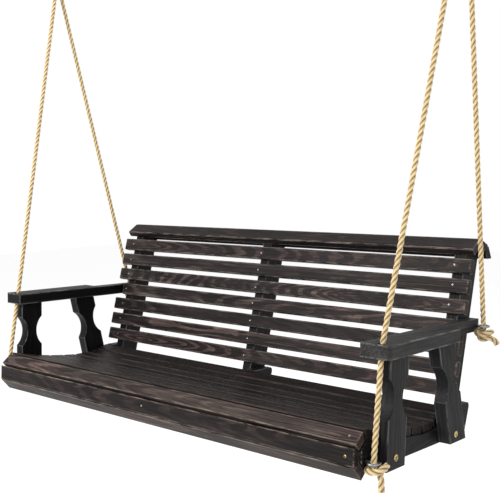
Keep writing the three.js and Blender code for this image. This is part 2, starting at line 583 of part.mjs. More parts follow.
// A ceiling hanger: a flat plate with a welded U-shaped bar under it. The ring's upper bar sits in
// the U and turns there as the seat swings.
function addHangers(group) {
  const barZ = hangerBarZ - ARM_DROP;
  const { halfSpan, plateX, plateY, plateZ, plateRadius } = HANGER;
  const [halfX, halfY] = [plateX / 2 - plateRadius, plateY / 2 - plateRadius];
  const shape = new THREE.Shape();
  shape.absarc(halfX, halfY, plateRadius, 0, Math.PI / 2, false);
  shape.absarc(-halfX, halfY, plateRadius, Math.PI / 2, Math.PI, false);
  shape.absarc(-halfX, -halfY, plateRadius, Math.PI, 1.5 * Math.PI, false);
  shape.absarc(halfX, -halfY, plateRadius, 1.5 * Math.PI, 2 * Math.PI, false);
  for (const [name, side] of [['left', -1], ['right', 1]]) {
    const centreX = side * HOOK_X;
    const plate = thickened(shape, plateZ, 4).translate(centreX, 0, -plateZ);
    const corners = points3([[0, -halfSpan, -plateZ / 2], [0, -halfSpan, barZ], [0, halfSpan, barZ],
      [0, halfSpan, -plateZ / 2]]);
    const staple = tube(roundedRoute(corners, HANGER.bend), HANGER.barRadius, 24).translate(centreX, 0, 0);
    addMesh(group, `ceiling_hanger_${name}`, join(plate, staple), hangerSteel);
  }
}

// ---------------------------------------------------------------- assembly

// The seat in its own frame, moved so that the line it swings on is at zero height.
const seatGroup = new THREE.Group();
seatGroup.position.z = -pivotZ;
addBackSlats(seatGroup);
addCrest(seatGroup);
addSupports(seatGroup);
addSeatSlats(seatGroup);
addRails(seatGroup);
addPosts(seatGroup);
addArms(seatGroup);
addFasteners(seatGroup);
addRopes(seatGroup);

const swingGroup = new THREE.Group();
swingGroup.position.z = pivotZ - ARM_DROP;
swingGroup.rotation.x = HANG_TILT;
swingGroup.add(seatGroup);

const ceilingGroup = new THREE.Group();
addHangers(ceilingGroup);

const porchSwing = new THREE.Group();
porchSwing.add(ceilingGroup, swingGroup);
export default porchSwing;
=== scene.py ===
"""Porch swing seat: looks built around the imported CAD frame. Metres, +Z up, origin on the ceiling plane."""

import json
import math
import random

import bmesh
import bpy
from mathutils import Matrix, Vector


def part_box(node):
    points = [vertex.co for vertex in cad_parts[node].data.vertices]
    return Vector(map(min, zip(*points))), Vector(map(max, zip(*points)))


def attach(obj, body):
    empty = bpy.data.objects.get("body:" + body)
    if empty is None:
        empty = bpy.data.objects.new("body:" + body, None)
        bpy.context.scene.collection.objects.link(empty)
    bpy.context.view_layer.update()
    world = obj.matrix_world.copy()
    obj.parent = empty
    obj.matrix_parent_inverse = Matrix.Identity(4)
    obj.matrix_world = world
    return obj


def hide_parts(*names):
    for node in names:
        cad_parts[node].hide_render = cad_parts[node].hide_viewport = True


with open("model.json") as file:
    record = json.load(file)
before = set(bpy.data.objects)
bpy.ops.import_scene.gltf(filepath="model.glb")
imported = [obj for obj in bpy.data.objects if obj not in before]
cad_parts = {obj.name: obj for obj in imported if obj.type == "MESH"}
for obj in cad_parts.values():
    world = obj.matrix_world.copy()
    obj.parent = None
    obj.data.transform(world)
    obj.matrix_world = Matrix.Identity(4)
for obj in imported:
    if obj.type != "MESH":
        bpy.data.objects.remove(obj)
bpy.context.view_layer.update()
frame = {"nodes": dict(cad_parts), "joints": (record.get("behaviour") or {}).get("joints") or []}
SIDES = (("left", -1), ("right", 1))
MM = 0.001

# ---------------------------------------------------------------- the seat's own frame

# The seat is drawn level, with its armrest tops at zero height, and hung a little tilted, as in the CAD.
PIVOT_Z = frame["joints"][0]["pos_m"][2]
ARM_DROP = 1.370  # ceiling plane down to the armrest tops
HANG_TILT = -math.radians(1.81)
SEAT_TO_WORLD = (
    Matrix.Translation((0, 0, PIVOT_Z))
    @ Matrix.Rotation(HANG_TILT, 4, "X")
    @ Matrix.Translation((0, 0, -PIVOT_Z - ARM_DROP))
)
SEAT_TURN = SEAT_TO_WORLD.to_3x3()
WORLD_TO_SEAT = SEAT_TO_WORLD.inverted()


def seat_point(x, y, z):
    """A point given in millimetres in the seat's frame, in the world frame in metres."""
    return SEAT_TO_WORLD @ Vector((x * MM, y * MM, z * MM))


# ---------------------------------------------------------------- camera

CAMERA_AT = (2.0176, -2.1537, 0.3919)  # in the seat's frame
CAMERA_YAW = math.radians(41.18)
CAMERA_PITCH = math.radians(-3.70)
CAMERA_ROLL = math.radians(0.197)
CAMERA_LENS = 62.76  # millimetres, as the sensor's width
SENSOR_WIDTH = 36
CLIP_START = 0.05


def make_camera():
    """The camera stands in the seat's own frame, as the tilt of the hanging seat is part of its view."""
    data = bpy.data.cameras.new("camera")
    data.lens = CAMERA_LENS
    data.sensor_width = SENSOR_WIDTH
    data.clip_start = CLIP_START
    camera = bpy.data.objects.new("camera", data)
    bpy.context.scene.collection.objects.link(camera)
    turned = (
        Matrix.Rotation(CAMERA_YAW, 4, "Z")
        @ Matrix.Rotation(math.pi / 2 + CAMERA_PITCH, 4, "X")
        @ Matrix.Rotation(CAMERA_ROLL, 4, "Z")
    )
    camera.matrix_world = SEAT_TO_WORLD @ Matrix.Translation(CAMERA_AT) @ turned
    bpy.context.scene.camera = camera


# ---------------------------------------------------------------- node helpers


class Nodes:
    """A material's node tree with short ways to add and join its nodes."""

    def __init__(self, name):
        self.material = bpy.data.materials.new(name)
        self.material.use_nodes = True
        self.tree = self.material.node_tree
        self.shader = self.tree.nodes["Principled BSDF"]

    def add(self, kind, inputs=None, **settings):
        node = self.tree.nodes.new(kind)
        for key, value in settings.items():
            setattr(node, key, value)
        for key, value in (inputs or {}).items():
            self.put(node.inputs[key], value)
        return node

    def put(self, socket, value):
        """Links another node's output to a socket, or sets the socket to a constant."""
        if isinstance(value, bpy.types.NodeSocket):
            self.tree.links.new(value, socket)
        else:
            socket.default_value = value

    def math(self, operation, a, b=0.0, clamp=False):
        node = self.add("ShaderNodeMath", {0: a, 1: b}, operation=operation)
        node.use_clamp = clamp
        return node.outputs[0]

    def vector(self, operation, a, b):
        return self.add("ShaderNodeVectorMath", {0: a, 1: b}, operation=operation).outputs[0]

    def noise(self, vector, scale, detail=3.0, roughness=0.55):
        inputs = {"Vector": vector, "Scale": scale, "Detail": detail, "Roughness": roughness}
        return self.add("ShaderNodeTexNoise", inputs)

    def stretched(self, vector, along, across):
        """Coordinates for a noise whose marks run along a board."""
        scale = (along, across, across)
        return self.add("ShaderNodeMapping", {"Vector": vector, "Scale": scale}).outputs[0]

    def edge_share(self, width):
        """1 on a box's edges, falling to 0 at a distance from them, from the attributes place and half."""
        place = self.add("ShaderNodeVectorMath", {0: self.attribute("place", "Vector")}, operation="ABSOLUTE")
        room = self.vector("SUBTRACT", self.attribute("half", "Vector"), place.outputs[0])
        x, y, z = self.add("ShaderNodeSeparateXYZ", {0: room}).outputs
        low, high = self.math("MINIMUM", x, y), self.math("MAXIMUM", x, y)
        second = self.math("MAXIMUM", low, self.math("MINIMUM", high, z))
        return self.math("SUBTRACT", 1.0, self.math("DIVIDE", second, width), clamp=True)

    def attribute(self, name, output):
        return self.add("ShaderNodeAttribute", attribute_name=name).outputs[output]

    def ramp(self, value, stops):
        """stops is [(position, grey or colour), ...]."""
        node = self.add("ShaderNodeValToRGB", {"Fac": value})
        elements = node.color_ramp.elements
        while len(elements) < len(stops):
            elements.new(0.5)
        for element, (position, colour) in zip(elements, stops):
            element.position = position
            element.color = (*colour, 1) if isinstance(colour, tuple) else (colour, colour, colour, 1)
        return node.outputs["Color"]

    def mix(self, factor, a, b, blend="MIX"):
        node = self.add("ShaderNodeMix", data_type="RGBA", blend_type=blend)
        self.put(node.inputs["Factor"], factor)
        for socket, value in ((node.inputs["A"], a), (node.inputs["B"], b)):
            sockets = [s for s in node.inputs if s.name == socket.name and s.type == "RGBA"]
            self.put(sockets[0], (*value, 1) if isinstance(value, tuple) else value)
        return next(s for s in node.outputs if s.type == "RGBA")

    def bump(self, height, distance, strength=1.0):
        inputs = {"Height": height, "Distance": distance, "Strength": strength}
        return self.add("ShaderNodeBump", inputs).outputs["Normal"]

    def set(self, **inputs):
        """Sets the shader's own sockets, with underscores for the spaces in their names."""
        for key, value in inputs.items():
            value = (*value, 1) if isinstance(value, tuple) else value
            self.put(self.shader.inputs[key.replace("_", " ")], value)
        return self.material


# ---------------------------------------------------------------- materials

RINGS_PER_METRE = 44.0
RING_WANDER = 0.026
TONE_STEP = 0.12  # change in lightness for one step of a board's tone
MEAN_LIGHT = 0.46
RUBBED_WIDTH = 0.0050
GRAIN_DEPTH = 0.0009
FIBRE_DEPTH = 0.0007
RELIEF = 0.9


def stained_wood(name, stops, worn, ring_strength):
    """Open-grained timber under a dark stain: growth rings, fibres, patchy uptake and rubbed edges.
    It reads the attributes that board() writes: grain holds a place along, across and through the tree that
    the board was cut from, tone its stain plus painted shade and painted light on some boards, figure the
    strength of its marks and wear its rounded edges."""
    n = Nodes(name)
    grain = n.attribute("grain", "Vector")
    figure = n.attribute("figure", "Fac")

    long_waves = n.stretched(grain, 2.4, 11.0)
    wobble = n.noise(long_waves, 1.0, 3.0).outputs["Color"]
    centred = n.vector("SUBTRACT", wobble, (0.5, 0.5, 0.5))
    shifted = n.vector("ADD", grain, n.vector("MULTIPLY", centred, (0.0, RING_WANDER, RING_WANDER)))
    rings = n.add(
        "ShaderNodeTexWave",
        {"Vector": shifted, "Scale": RINGS_PER_METRE, "Distortion": 0.8, "Detail": 2.0, "Detail Scale": 1.2},
        wave_type="RINGS",
        rings_direction="X",
    ).outputs["Fac"]
    early_wood = n.ramp(rings, [(0.45, 0.0), (0.85, 1.0), (1.0, 0.85)])

    fibres = n.noise(n.stretched(grain, 10.0, 330.0), 1.0, 5.0, 0.65).outputs["Fac"]
    streaks = n.noise(n.stretched(grain, 1.6, 120.0), 1.0, 5.0, 0.7).outputs["Fac"]
    patches = n.noise(n.stretched(grain, 3.0, 16.0), 1.0, 4.0, 0.6).outputs["Fac"]
    shown = n.ramp(n.noise(n.stretched(grain, 1.6, 8.0), 1.0, 2.0).outputs["Fac"], [(0.38, 0.1), (0.62, 1.0)])

    light = n.math("MULTIPLY", n.math("SUBTRACT", streaks, 0.5), 1.5)
    light = n.math("ADD", light, n.math("MULTIPLY", n.math("SUBTRACT", fibres, 0.5), 1.0))
    lines = n.math("MULTIPLY", n.math("MULTIPLY", n.math("SUBTRACT", early_wood, 0.35), shown), ring_strength)
    light = n.math("ADD", light, lines)
    light = n.math("ADD", light, n.math("MULTIPLY", n.math("SUBTRACT", patches, 0.5), 1.0))
    light = n.math("MULTIPLY", light, figure)
    # Each board's tone: its stain, plus painted shade on boards in shadow and painted light on the right
    # armrest and the roll's bottom slat.
    light = n.math("ADD", light, n.math("MULTIPLY", n.attribute("tone", "Fac"), TONE_STEP))
    light = n.math("ADD", light, MEAN_LIGHT, clamp=True)
    colour = n.ramp(light, stops)
    hue = n.noise(n.stretched(grain, 2.0, 9.0), 0.8, 1.0).outputs["Fac"]
    colour = n.mix(n.ramp(hue, [(0.46, 0.0), (0.62, 0.6)]), colour, (1.0, 0.80, 0.84), "MULTIPLY")

    rubbed = n.noise(n.stretched(grain, 16.0, 150.0), 1.0, 4.0, 0.7).outputs["Fac"]
    edge = n.math("MULTIPLY", n.edge_share(RUBBED_WIDTH), 0.85)
    edge = n.math("MAXIMUM", edge, n.attribute("wear", "Fac"))
    rub = n.math("MULTIPLY", edge, n.ramp(rubbed, [(0.42, 0.0), (0.66, 1.0)]), clamp=True)
    rub = n.math("MULTIPLY", rub, n.ramp(figure, [(0.34, 0.22), (0.5, 1.0)]))
    colour = n.mix(n.math("MULTIPLY", rub, 0.8), colour, worn)

    rough = n.math("ADD", n.math("MULTIPLY", streaks, 0.24), n.math("MULTIPLY", early_wood, 0.10))
    rough = n.math("ADD", rough, 0.36)
    height = n.math("ADD", n.math("MULTIPLY", fibres, 0.5), n.math("MULTIPLY", early_wood, -0.4))
    height = n.math("ADD", height, n.math("MULTIPLY", streaks, 0.6))
    relief = n.bump(height, GRAIN_DEPTH, RELIEF)
    return n.set(Base_Color=colour, Roughness=rough, Specular_IOR_Level=0.10, Normal=relief)


def twisted_fibre(name, light, groove_shade_colour):
    """Rope and twine: fibres that run along it, pale on the crowns, with painted shade darkening the grooves.
    It reads the attributes that sweep() writes: lay holds a length and a place round the rope, groove its
    depth."""
    n = Nodes(name)
    lay = n.attribute("lay", "Vector")
    groove = n.attribute("groove", "Fac")
    fibre_space = n.add("ShaderNodeMapping", {"Vector": lay, "Scale": (60.0, 900.0, 900.0)}).outputs[0]
    fibres = n.noise(fibre_space, 1.0, 4.0, 0.6).outputs["Fac"]
    yarn_space = n.add("ShaderNodeMapping", {"Vector": lay, "Scale": (30.0, 330.0, 330.0)}).outputs[0]
    yarns = n.noise(yarn_space, 1.0, 2.0).outputs["Fac"]
    soil = n.noise(lay, 9.0, 3.0).outputs["Fac"]
    shade = n.math("ADD", n.math("MULTIPLY", fibres, 0.5), n.math("MULTIPLY", yarns, 0.5))
    shade = n.ramp(shade, [(0.34, 0.72), (0.62, 1.08)])
    colour = n.mix(n.ramp(soil, [(0.35, 0.0), (0.75, 0.35)]), light, tuple(c * 0.80 for c in light))
    # Painted shade: the grooves between the strands are darkened towards a dark brown.
    colour = n.mix(n.ramp(groove, [(0.16, 0.0), (0.88, 0.96)]), colour, groove_shade_colour)
    colour = n.mix(1.0, colour, shade, "MULTIPLY")
    height = n.math("ADD", n.math("MULTIPLY", fibres, 0.6), n.math("MULTIPLY", yarns, 0.6))
    return n.set(
        Base_Color=colour,
        Roughness=0.62,
        Specular_IOR_Level=0.35,
        Sheen_Weight=0.25,
        Sheen_Roughness=0.5,
        Normal=n.bump(height, FIBRE_DEPTH, RELIEF),
    )


def plated_metal(name, colour, roughness):
    """Plated steel with fine handling marks and slightly uneven gloss."""
    n = Nodes(name)
    place = n.add("ShaderNodeTexCoord").outputs["Object"]
    cloud = n.noise(place, 160.0, 4.0, 0.6).outputs["Fac"]
    tint = n.mix(n.ramp(cloud, [(0.35, 0.0), (0.7, 0.6)]), colour, tuple(c * 0.72 for c in colour))
    rough = n.math("ADD", n.math("MULTIPLY", cloud, 0.22), roughness - 0.11)
    grit = n.noise(place, 900.0, 3.0).outputs["Fac"]
    return n.set(Base_Color=tint, Metallic=1.0, Roughness=rough, Normal=n.bump(grit, 0.00006))


def patchy_plating(name, colour, roughness):
    """Yellow-plated steel with dark, rougher, less metallic patches over parts of it: part stain smear, part
    painted dark reflection of a domed head.
    """
    n = Nodes(name)
    place = n.add("ShaderNodeTexCoord").outputs["Object"]
    cloud = n.noise(place, 130.0, 4.0, 0.6).outputs["Fac"]
    dark_patches = n.ramp(n.noise(place, 95.0, 3.0, 0.7).outputs["Fac"], [(0.47, 0.0), (0.56, 0.9)])
    tint = n.mix(n.ramp(cloud, [(0.35, 0.0), (0.7, 0.6)]), colour, tuple(c * 0.6 for c in colour))
    # Dark patches over parts of the plating: part stain smear, part painted dark reflection of the domed
    # heads.
    tint = n.mix(dark_patches, tint, (0.030, 0.024, 0.018))
    rough = n.math("ADD", n.math("MULTIPLY", dark_patches, 0.35), roughness)
    metal = n.math("SUBTRACT", 1.0, n.math("MULTIPLY", dark_patches, 0.7))
    return n.set(Base_Color=tint, Metallic=metal, Roughness=rough, Normal=n.bump(cloud, 0.0002))


def powder_coat(name, colour):
    """Black powder coat with a fine orange-peel surface."""
    n = Nodes(name)
    place = n.add("ShaderNodeTexCoord").outputs["Object"]
    peel = n.noise(place, 700.0, 2.0).outputs["Fac"]
    mottled = n.noise(place, 60.0, 3.0).outputs["Fac"]
    tint = n.mix(mottled, colour, tuple(c * 1.5 for c in colour))
    rough = n.math("ADD", n.math("MULTIPLY", mottled, 0.15), 0.38)
    return n.set(Base_Color=tint, Roughness=rough, Normal=n.bump(peel, 0.00015))


SLAT_STOPS = [
    (0.0, (0.0018, 0.0013, 0.0013)),
    (0.30, (0.0058, 0.0043, 0.0041)),
    (0.55, (0.018, 0.0132, 0.0120)),
    (0.80, (0.052, 0.039, 0.033)),
    (1.0, (0.115, 0.090, 0.075)),
]
FRAME_STOPS = [
    (0.0, (0.0018, 0.0017, 0.0018)),
    (0.30, (0.0052, 0.0050, 0.0052)),
    (0.55, (0.0125, 0.0121, 0.0124)),
    (0.80, (0.032, 0.0305, 0.0295)),
    (1.0, (0.080, 0.077, 0.072)),
]
SLAT_WOOD = stained_wood("slat_wood", SLAT_STOPS, (0.24, 0.20, 0.17), 0.60)
FRAME_WOOD = stained_wood("frame_wood", FRAME_STOPS, (0.26, 0.26, 0.25), 0.34)
ROPE = twisted_fibre("rope_fibre", (0.60, 0.450, 0.228), (0.075, 0.041, 0.011))
TWINE = twisted_fibre("seizing_twine", (0.52, 0.36, 0.17), (0.20, 0.12, 0.04))
ZINC = plated_metal("zinc_steel", (0.30, 0.31, 0.33), 0.38)
BRASS = patchy_plating("yellow_zinc", (0.66, 0.50, 0.19), 0.22)
BLACK = powder_coat("black_coat", (0.018, 0.018, 0.020))

# ---------------------------------------------------------------- meshes


def finished(name, mesh, material, body, replaced=()):
    """Links a mesh whose points are in the world frame, and lets it ride on its body."""
    obj = bpy.data.objects.new(name, mesh)
    bpy.context.scene.collection.objects.link(obj)
    mesh.materials.append(material)
    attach(obj, body)
    if replaced:
        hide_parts(*replaced)
    return obj


def weighted_normals(obj):
    """Smooth shading that keeps the flat faces between rounded edges flat."""
    obj.data.polygons.foreach_set("use_smooth", [True] * len(obj.data.polygons))
    modifier = obj.modifiers.new("even_normals", "WEIGHTED_NORMAL")
    modifier.weight = 100


def write_attribute(mesh, name, kind, values):
    """values holds one number or one vector for each vertex."""
    attribute = mesh.attributes.new(name, kind, "POINT")
    if kind == "FLOAT":
        attribute.data.foreach_set("value", values)
    else:
        attribute.data.foreach_set("vector", [number for vector in values for number in vector])


def lathe(profile, axis_place, axis, segments=32):
    """A turned solid. profile is [(radius, distance along the axis), ...] and starts and ends on the axis."""
    bm = bmesh.new()
    turn = Vector((0, 0, 1)).rotation_difference(Vector(axis)).to_matrix()
    rows = []
    for radius, along in profile:
        count = 1 if radius == 0 else segments
        row = []
        for i in range(count):
            angle = 2 * math.pi * i / count
            local = Vector((radius * math.cos(angle), radius * math.sin(angle), along))
            row.append(bm.verts.new(Vector(axis_place) + turn @ local))
        rows.append(row)
    for low, high in zip(rows, rows[1:]):
        for i in range(segments):
            j = (i + 1) % segments
            corners = [low[i % len(low)], low[j % len(low)], high[j % len(high)], high[i % len(high)]]
            bm.faces.new(list(dict.fromkeys(corners)))
    bmesh.ops.recalc_face_normals(bm, faces=bm.faces)
    return bm


def hexagon(across_corners, height, axis_place, axis):
    """A hexagon nut with its corners rounded off, its sizes in millimetres."""
    radius = across_corners * MM / 2
    height *= MM
    bm = lathe([(0, 0), (radius, 0), (radius, height), (0, height)], axis_place, axis, 6)
    edges = [e for e in bm.edges if e.calc_face_angle(0) > math.radians(30)]
    bmesh.ops.bevel(bm, geom=edges, offset=radius * 0.1, segments=2, affect="EDGES", profile=0.6)
    return bm


def to_mesh(name, *parts):
    """One mesh from several bmeshes, which it uses up."""
    mesh = bpy.data.meshes.new(name)
    whole = bmesh.new()
    for part in parts:
        part.to_mesh(mesh)
        whole.from_mesh(mesh)
        part.free()
    whole.to_mesh(mesh)
    whole.free()
    return mesh


# ---------------------------------------------------------------- routes and sweeps


def rounded_route(corners, distance, step):
    """Points along straight stretches whose corners are rounded over the given distance."""
    stretches = []
    start = corners[0]
    for before, corner, after in zip(corners, corners[1:], corners[2:]):
        enter = corner + (before - corner).normalized() * distance
        leave = corner + (after - corner).normalized() * distance
        stretches.append((start, start.lerp(enter, 0.5), enter))
        stretches.append((enter, corner, leave))
        start = leave
    stretches.append((start, start.lerp(corners[-1], 0.5), corners[-1]))
    points = [corners[0]]
    for a, b, c in stretches:
        count = max(2, round(((b - a).length + (c - b).length) / step))
        for i in range(1, count + 1):
            t = i / count
            points.append(a * (1 - t) ** 2 + b * 2 * t * (1 - t) + c * t**2)
    return points


def smooth_route(corners, step):
    """Points along a Catmull-Rom curve through the given ones."""
    padded = [corners[0] * 2 - corners[1], *corners, corners[-1] * 2 - corners[-2]]
    points = [corners[0]]
    for a, b, c, d in zip(padded, padded[1:], padded[2:], padded[3:]):
        count = max(2, round((c - b).length / step))
        for i in range(1, count + 1):
            t = i / count
            square = (a * 2 - b * 5 + c * 4 - d) * t**2
            cube = (b * 3 - a - c * 3 + d) * t**3
            points.append((b * 2 + (c - a) * t + square + cube) / 2)
    return points


STRAND_CENTRE = 0.46  # of the rope's radius, as the strand's own radius
STRAND_RADIUS = 0.54
LAY_LENGTH = 3.6  # diameters in one full turn of a strand


def strand_outline(angle):
    """Share of the rope's radius at an angle, for three strands at 0, 120 and 240 degrees."""
    third = 2 * math.pi / 3
    offset = abs((angle + third / 2) % third - third / 2)
    reach = STRAND_RADIUS**2 - (STRAND_CENTRE * math.sin(offset)) ** 2
    return STRAND_CENTRE * math.cos(offset) + math.sqrt(max(reach, 0.0))


GROOVE_FLOOR = strand_outline(math.pi / 3)


def sweep(name, route, radius, sides=24, strands=False, closed=False, flare=0.0):
    """A tube along a route, round or laid up of three right-handed strands. flare opens its last end."""
    bm = bmesh.new()
    normal = (route[1] - route[0]).orthogonal().normalized()
    travelled = 0.0
    rows, lay, groove = [], [], []
    total = sum((b - a).length for a, b in zip(route, route[1:]))
    for i, point in enumerate(route):
        before = route[i - 1] if i or closed else route[0]
        after = route[(i + 1) % len(route)] if i < len(route) - 1 or closed else route[-1]
        tangent = (after - before).normalized()
        normal = (normal - tangent * normal.dot(tangent)).normalized()
        side = tangent.cross(normal)
        if i:
            travelled += (point - route[i - 1]).length
        twist = 2 * math.pi * travelled / (LAY_LENGTH * 2 * radius)
        swell = 1 + flare * max(0.0, 1 - (total - travelled) / (2 * radius))
        row = []
        for k in range(sides):
            angle = 2 * math.pi * k / sides
            share = strand_outline(angle - twist) if strands else 1.0
            reach = radius * share * swell
            place = point + normal * (reach * math.cos(angle))
            row.append(bm.verts.new(place + side * (reach * math.sin(angle))))
            lay.append((travelled, radius * math.cos(angle), radius * math.sin(angle)))
            groove.append((1 - share) / (1 - GROOVE_FLOOR) if strands else 0.0)
        rows.append(row)
    pairs = list(zip(rows, rows[1:])) + ([(rows[-1], rows[0])] if closed else [])
    for low, high in pairs:
        for k in range(sides):
            j = (k + 1) % sides
            bm.faces.new((low[k], low[j], high[j], high[k]))
    if not closed:
        for row, at, order in ((rows[0], 0.0, -1), (rows[-1], travelled, 1)):
            middle = sum((v.co for v in row), Vector()) / sides
            tip = bm.verts.new(middle)
            lay.append((at, 0.0, 0.0))
            groove.append(0.35 if strands else 0.0)
            for k in range(sides):
                bm.faces.new((row[k], row[(k + 1) % sides], tip)[::order])
    mesh = bpy.data.meshes.new(name)
    bm.to_mesh(mesh)
    bm.free()
    mesh.polygons.foreach_set("use_smooth", [True] * len(mesh.polygons))
    write_attribute(mesh, "lay", "FLOAT_VECTOR", lay)
    write_attribute(mesh, "groove", "FLOAT", groove)
    return mesh


def swept_part(route, radius, sides, closed=False):
    """A plain tube as a bmesh, to be joined with others."""
    mesh = sweep("tube", route, radius, sides, closed=closed)
    bm = bmesh.new()
    bm.from_mesh(mesh)
    bpy.data.meshes.remove(mesh)
    return bm


def circle(centre, radius, across, up, count):
    """Points round a circle in the plane of two unit vectors."""
    points = []
    for i in range(count):
        angle = 2 * math.pi * i / count
        points.append(centre + across * (radius * math.cos(angle)) + up * (radius * math.sin(angle)))
    return points


# ---------------------------------------------------------------- ropes

ROPE_RADIUS = 8.0  # millimetres, as all the rope's places below, in the seat's frame
TOUCH_GAP = 0.3
LEG_OFFSET = ROPE_RADIUS + TOUCH_GAP / 2
HOOK_X, FAN_Z, JOIN_Z = 890.0, 1187.0, 1228.0  # the hangers, the seizing's foot and the legs' ends
FRONT_EYE = (818.0, -300.0, -303.0)
REAR_EYE = (816.0, 303.0, -20.0)
KNOT_DROP = 9.0  # from an eye's middle down to the end of its rope leg
FRONT_ROUTE = (
    (818, -300, -303 - KNOT_DROP), (818, -299, -290), (812, -262, -40), (812, -254.5, 2),
    (HOOK_X, -LEG_OFFSET, FAN_Z), (HOOK_X, -LEG_OFFSET, JOIN_Z - TOUCH_GAP),
)
REAR_ROUTE = (
    (816, 304, -20 - KNOT_DROP), (816, 302.5, -8),
    (HOOK_X, LEG_OFFSET, FAN_Z), (HOOK_X, LEG_OFFSET, JOIN_Z - TOUCH_GAP),
)
ROPE_STEP, KNOT_STEP, BIGHT_STEP = 3.2 * MM, 2.2 * MM, 2.4 * MM
CORNER_EASE = 8 * MM

# Knots, in millimetres from the eye's middle: right, away and up, in axes turned by KNOT_TURN.
FRONT_KNOT = (
    (0, 0, 4), (2, 4, -8), (-3, 10, -14), (-13, 6, -18), (-15, -6, -19), (-4, -16, -19), (10, -19, -16),
    (23, -16, -10), (32, -6, -7), (31, 7, -10), (25, 12, -18), (19, 7, -27), (18, -1, -35), (19, -3, -45),
    (20, -1, -58), (20, 0, -74),
)
HIDDEN_TAIL = 2  # corners left off the front left knot, whose tail is cut short
REAR_KNOT = (
    (0, 0, 2), (2, 5, -9), (-8, 10, -14), (-19, 2, -19), (-14, -11, -24), (1, -15, -22), (17, -12, -17),
    (25, 0, -18), (16, 10, -24), (2, 11, -31), (-10, 3, -35), (-6, -9, -38), (8, -12, -36), (22, -7, -36),
    (33, -2, -43), (44, 0, -54),
)
KNOT_TURN = math.radians(41)  # about the vertical, from the seat's own axes
KNOT_SWELL = 1.13  # the rope loosens a little where it is bent hard
TAIL_FLARE = 0.12


def rope_leg(kind, name, side, corners):
    """A taut rope from the seizing, where its two halves part, down through its eye to its knot."""
    route = rounded_route([seat_point(side * x, y, z) for x, y, z in corners], CORNER_EASE, ROPE_STEP)
    route.reverse()
    mesh = sweep(f"{kind}_{name}_twisted", route, ROPE_RADIUS * MM, strands=True)
    leg = finished(f"{kind}_{name}_twisted", mesh, ROPE, "swing", [f"{kind}_{name}"])


def stopper_knot(kind, name, side, eye, corners):
    """The rope below an eye, wound into a stopper knot with its cut tail hanging out."""
    points = []
    for right, away, up in corners:
        x = right * math.cos(KNOT_TURN) - away * math.sin(KNOT_TURN)
        y = right * math.sin(KNOT_TURN) + away * math.cos(KNOT_TURN)
        points.append(seat_point(side * (eye[0] + x), eye[1] + y, eye[2] + up))
    route = smooth_route(points, KNOT_STEP)
    radius = KNOT_SWELL * ROPE_RADIUS * MM
    mesh = sweep(f"{kind}_{name}_wound", route, radius, strands=True, flare=TAIL_FLARE)
    return finished(f"{kind}_{name}_wound", mesh, ROPE, "swing", [f"{kind}_{name}"])


RING_BOTTOM_Z, RING_RADIUS, RING_BAR = 1263.0, 26.0, 4.5
SEIZING_BOTTOM_Z, SEIZING_HEIGHT = 1214.0, 28.0
CROWN_STEPS = 8
TWINE_RADIUS, TWINE_STEPS = 1.5, 28  # and its points in one turn round the two legs


def rope_eye(name, side):
    """The bight: up inside the seizing, over the ring's lower bar and down again."""
    bend = RING_BAR + ROPE_RADIUS + TOUCH_GAP
    neck = SEIZING_BOTTOM_Z + SEIZING_HEIGHT
    rising = [(-LEG_OFFSET, JOIN_Z), (-LEG_OFFSET, neck), (-LEG_OFFSET - 2, neck + 8), (-bend, RING_BOTTOM_Z)]
    crown = []
    for i in range(1, CROWN_STEPS):
        angle = math.pi * (1 - i / CROWN_STEPS)
        crown.append((bend * math.cos(angle), RING_BOTTOM_Z + bend * math.sin(angle)))
    falling = [(-y, z) for y, z in reversed(rising)]
    points = [seat_point(side * HOOK_X, y, z) for y, z in rising + crown + falling]
    route = smooth_route(points, BIGHT_STEP)
    mesh = sweep(f"rope_eye_{name}_twisted", route, ROPE_RADIUS * MM, strands=True)
    finished(f"rope_eye_{name}_twisted", mesh, ROPE, "swing", [f"rope_eye_{name}"])


def seizing(name, side):
    """Twine wound round both legs of the rope."""
    turns = int(SEIZING_HEIGHT / (2 * TWINE_RADIUS)) - 1
    reach = ROPE_RADIUS + TWINE_RADIUS + TOUCH_GAP
    corners = []
    for i in range(turns * TWINE_STEPS + 1):
        angle = 2 * math.pi * i / TWINE_STEPS
        spread = math.copysign(LEG_OFFSET, math.sin(angle)) * min(1, abs(math.sin(angle)) * 4)
        x = reach * math.cos(angle)
        z = SEIZING_BOTTOM_Z + TWINE_RADIUS + 2 * TWINE_RADIUS * i / TWINE_STEPS
        corners.append(seat_point(side * HOOK_X + x, reach * math.sin(angle) + spread, z))
    mesh = sweep(f"rope_seizing_{name}_wound", corners, TWINE_RADIUS * MM, sides=8)
    finished(f"rope_seizing_{name}_wound", mesh, TWINE, "swing", [f"rope_seizing_{name}"])


def make_ropes():
    for name, side in SIDES:
        shown = FRONT_KNOT if name == "right" else FRONT_KNOT[:-HIDDEN_TAIL]
        front = stopper_knot("front_knot", name, side, FRONT_EYE, shown)
        rear = stopper_knot("rear_knot", name, side, REAR_EYE, REAR_KNOT)
        rope_leg("front_rope", name, side, FRONT_ROUTE)
        rope_leg("rear_rope", name, side, REAR_ROUTE)
        rope_eye(name, side)
        seizing(name, side)


# ---------------------------------------------------------------- timber

BACK_LEAN = math.atan(0.2573)
FRONT_POST_LEAN = {"left": math.atan(0.01), "right": math.atan(0.055)}
REAR_POST_LEAN = math.atan(0.25)
SLAT_EDGE, FRAME_EDGE, POST_EDGE, ARM_EDGE = 1.3 * MM, 2.2 * MM, 3.0 * MM, 5.0 * MM  # how far edges are eased
MERGE_DISTANCE = 1e-5
FLAT_ANGLE, SHARP_ANGLE = math.radians(1), math.radians(32)
TONE_SPREAD = 0.8
FIRST_SEED = 8


def leaning(angle):
    """The direction of a timber that leans to the back by an angle, in the seat's frame."""
    return Vector((0, math.sin(angle), math.cos(angle)))
